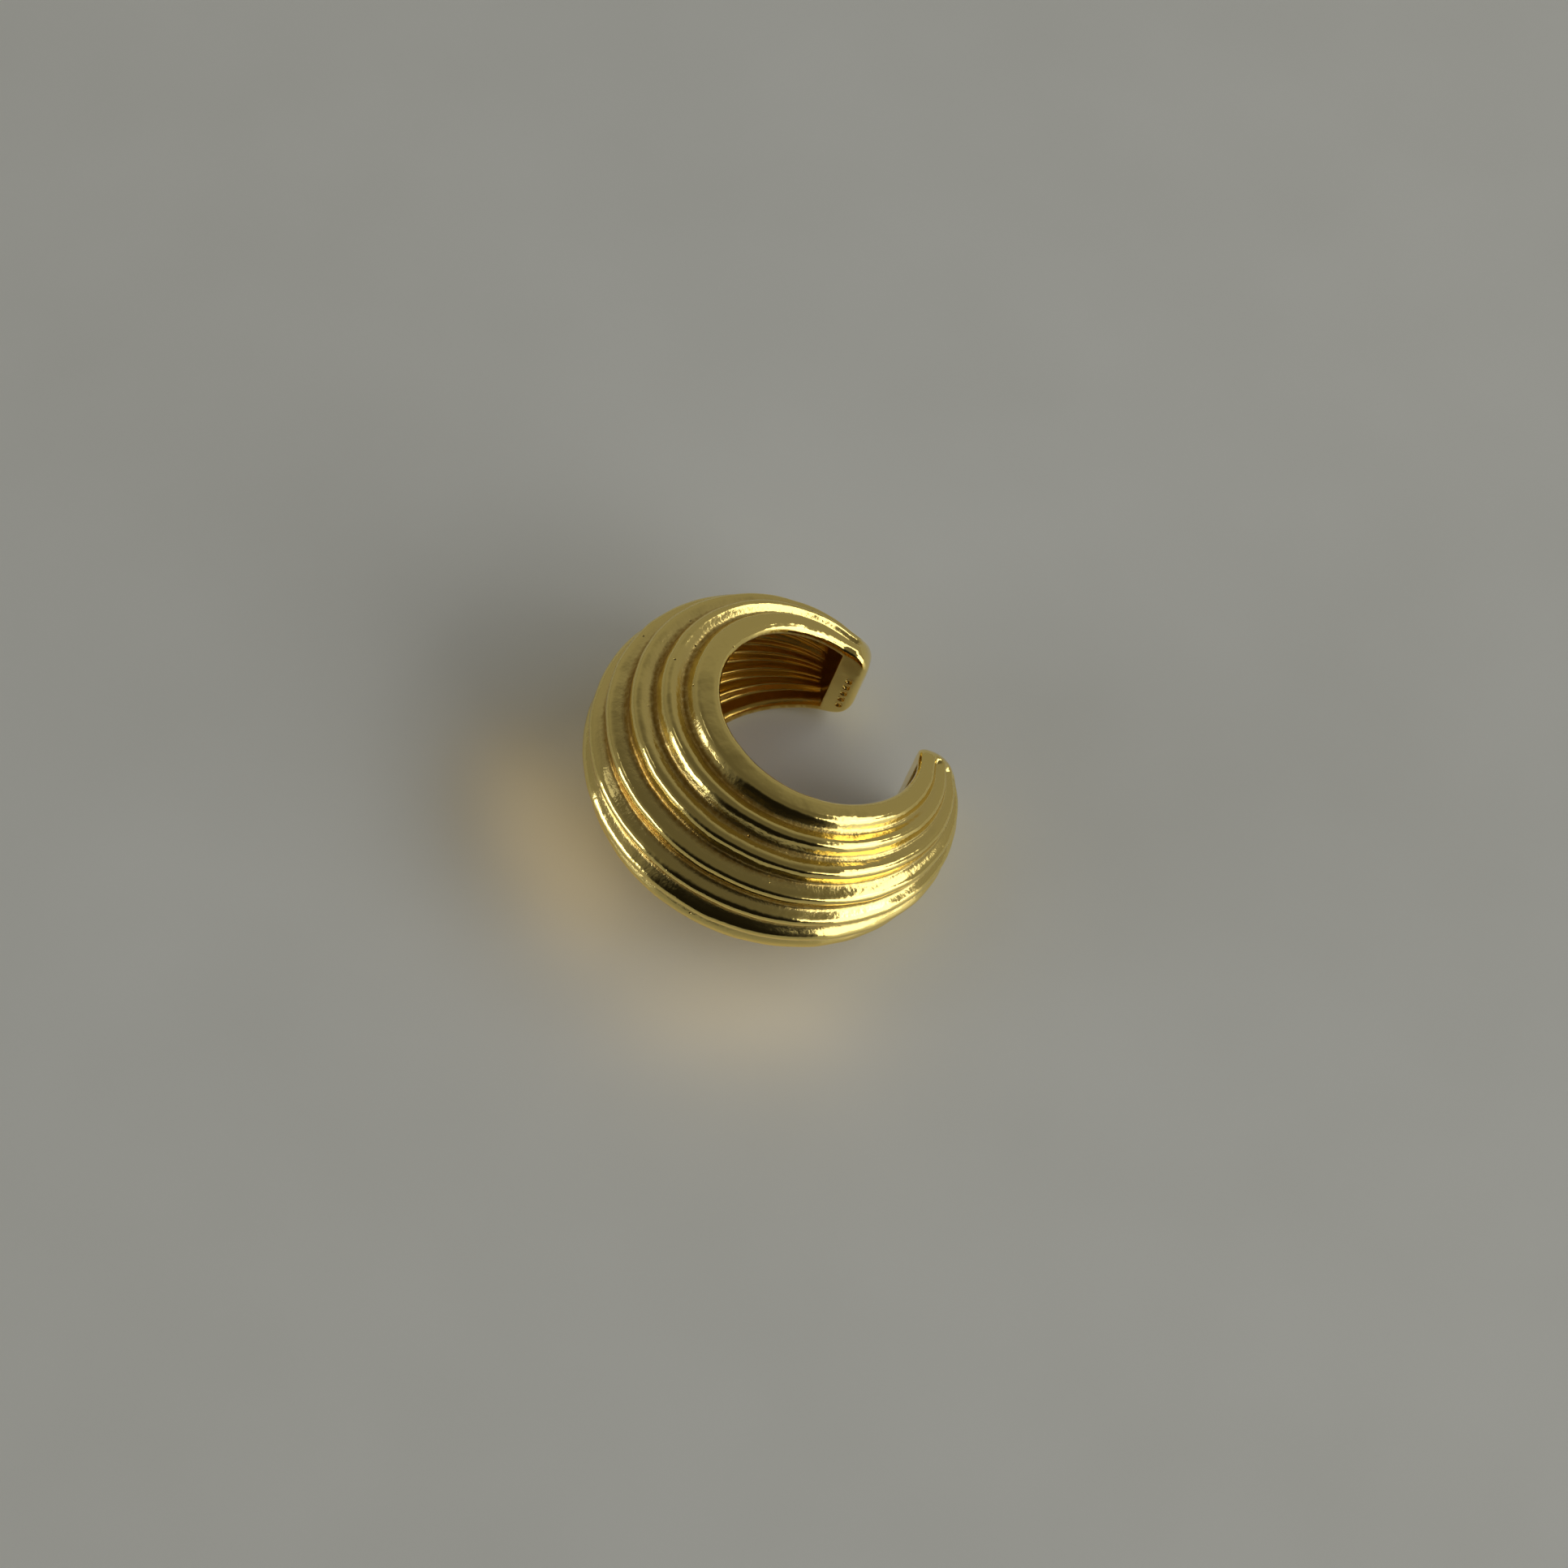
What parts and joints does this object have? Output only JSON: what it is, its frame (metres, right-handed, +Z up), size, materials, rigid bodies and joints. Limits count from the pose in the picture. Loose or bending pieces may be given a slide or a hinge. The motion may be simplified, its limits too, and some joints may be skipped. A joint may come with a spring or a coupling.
{
  "type": "ear cuff",
  "caption": "Domed, ribbed ear cuff in polished yellow gold plate: a C-shaped hollow-backed ring with flat pads at its tips.",
  "frame": {"origin": "middle of the bounding box, on the surface that the cuff lies on", "axes": "+X from the deepest place of the band towards the gap, +Y across the gap from tip to tip, +Z up from the surface that it lies on"},
  "size_m": [0.0138, 0.0154, 0.008],
  "materials": {
    "gold_plate": "polished yellow gold plate over cast brass"
  },
  "bodies": {
    "root": {"ribbed_cuff": "gold_plate"}
  },
  "joints": []
}
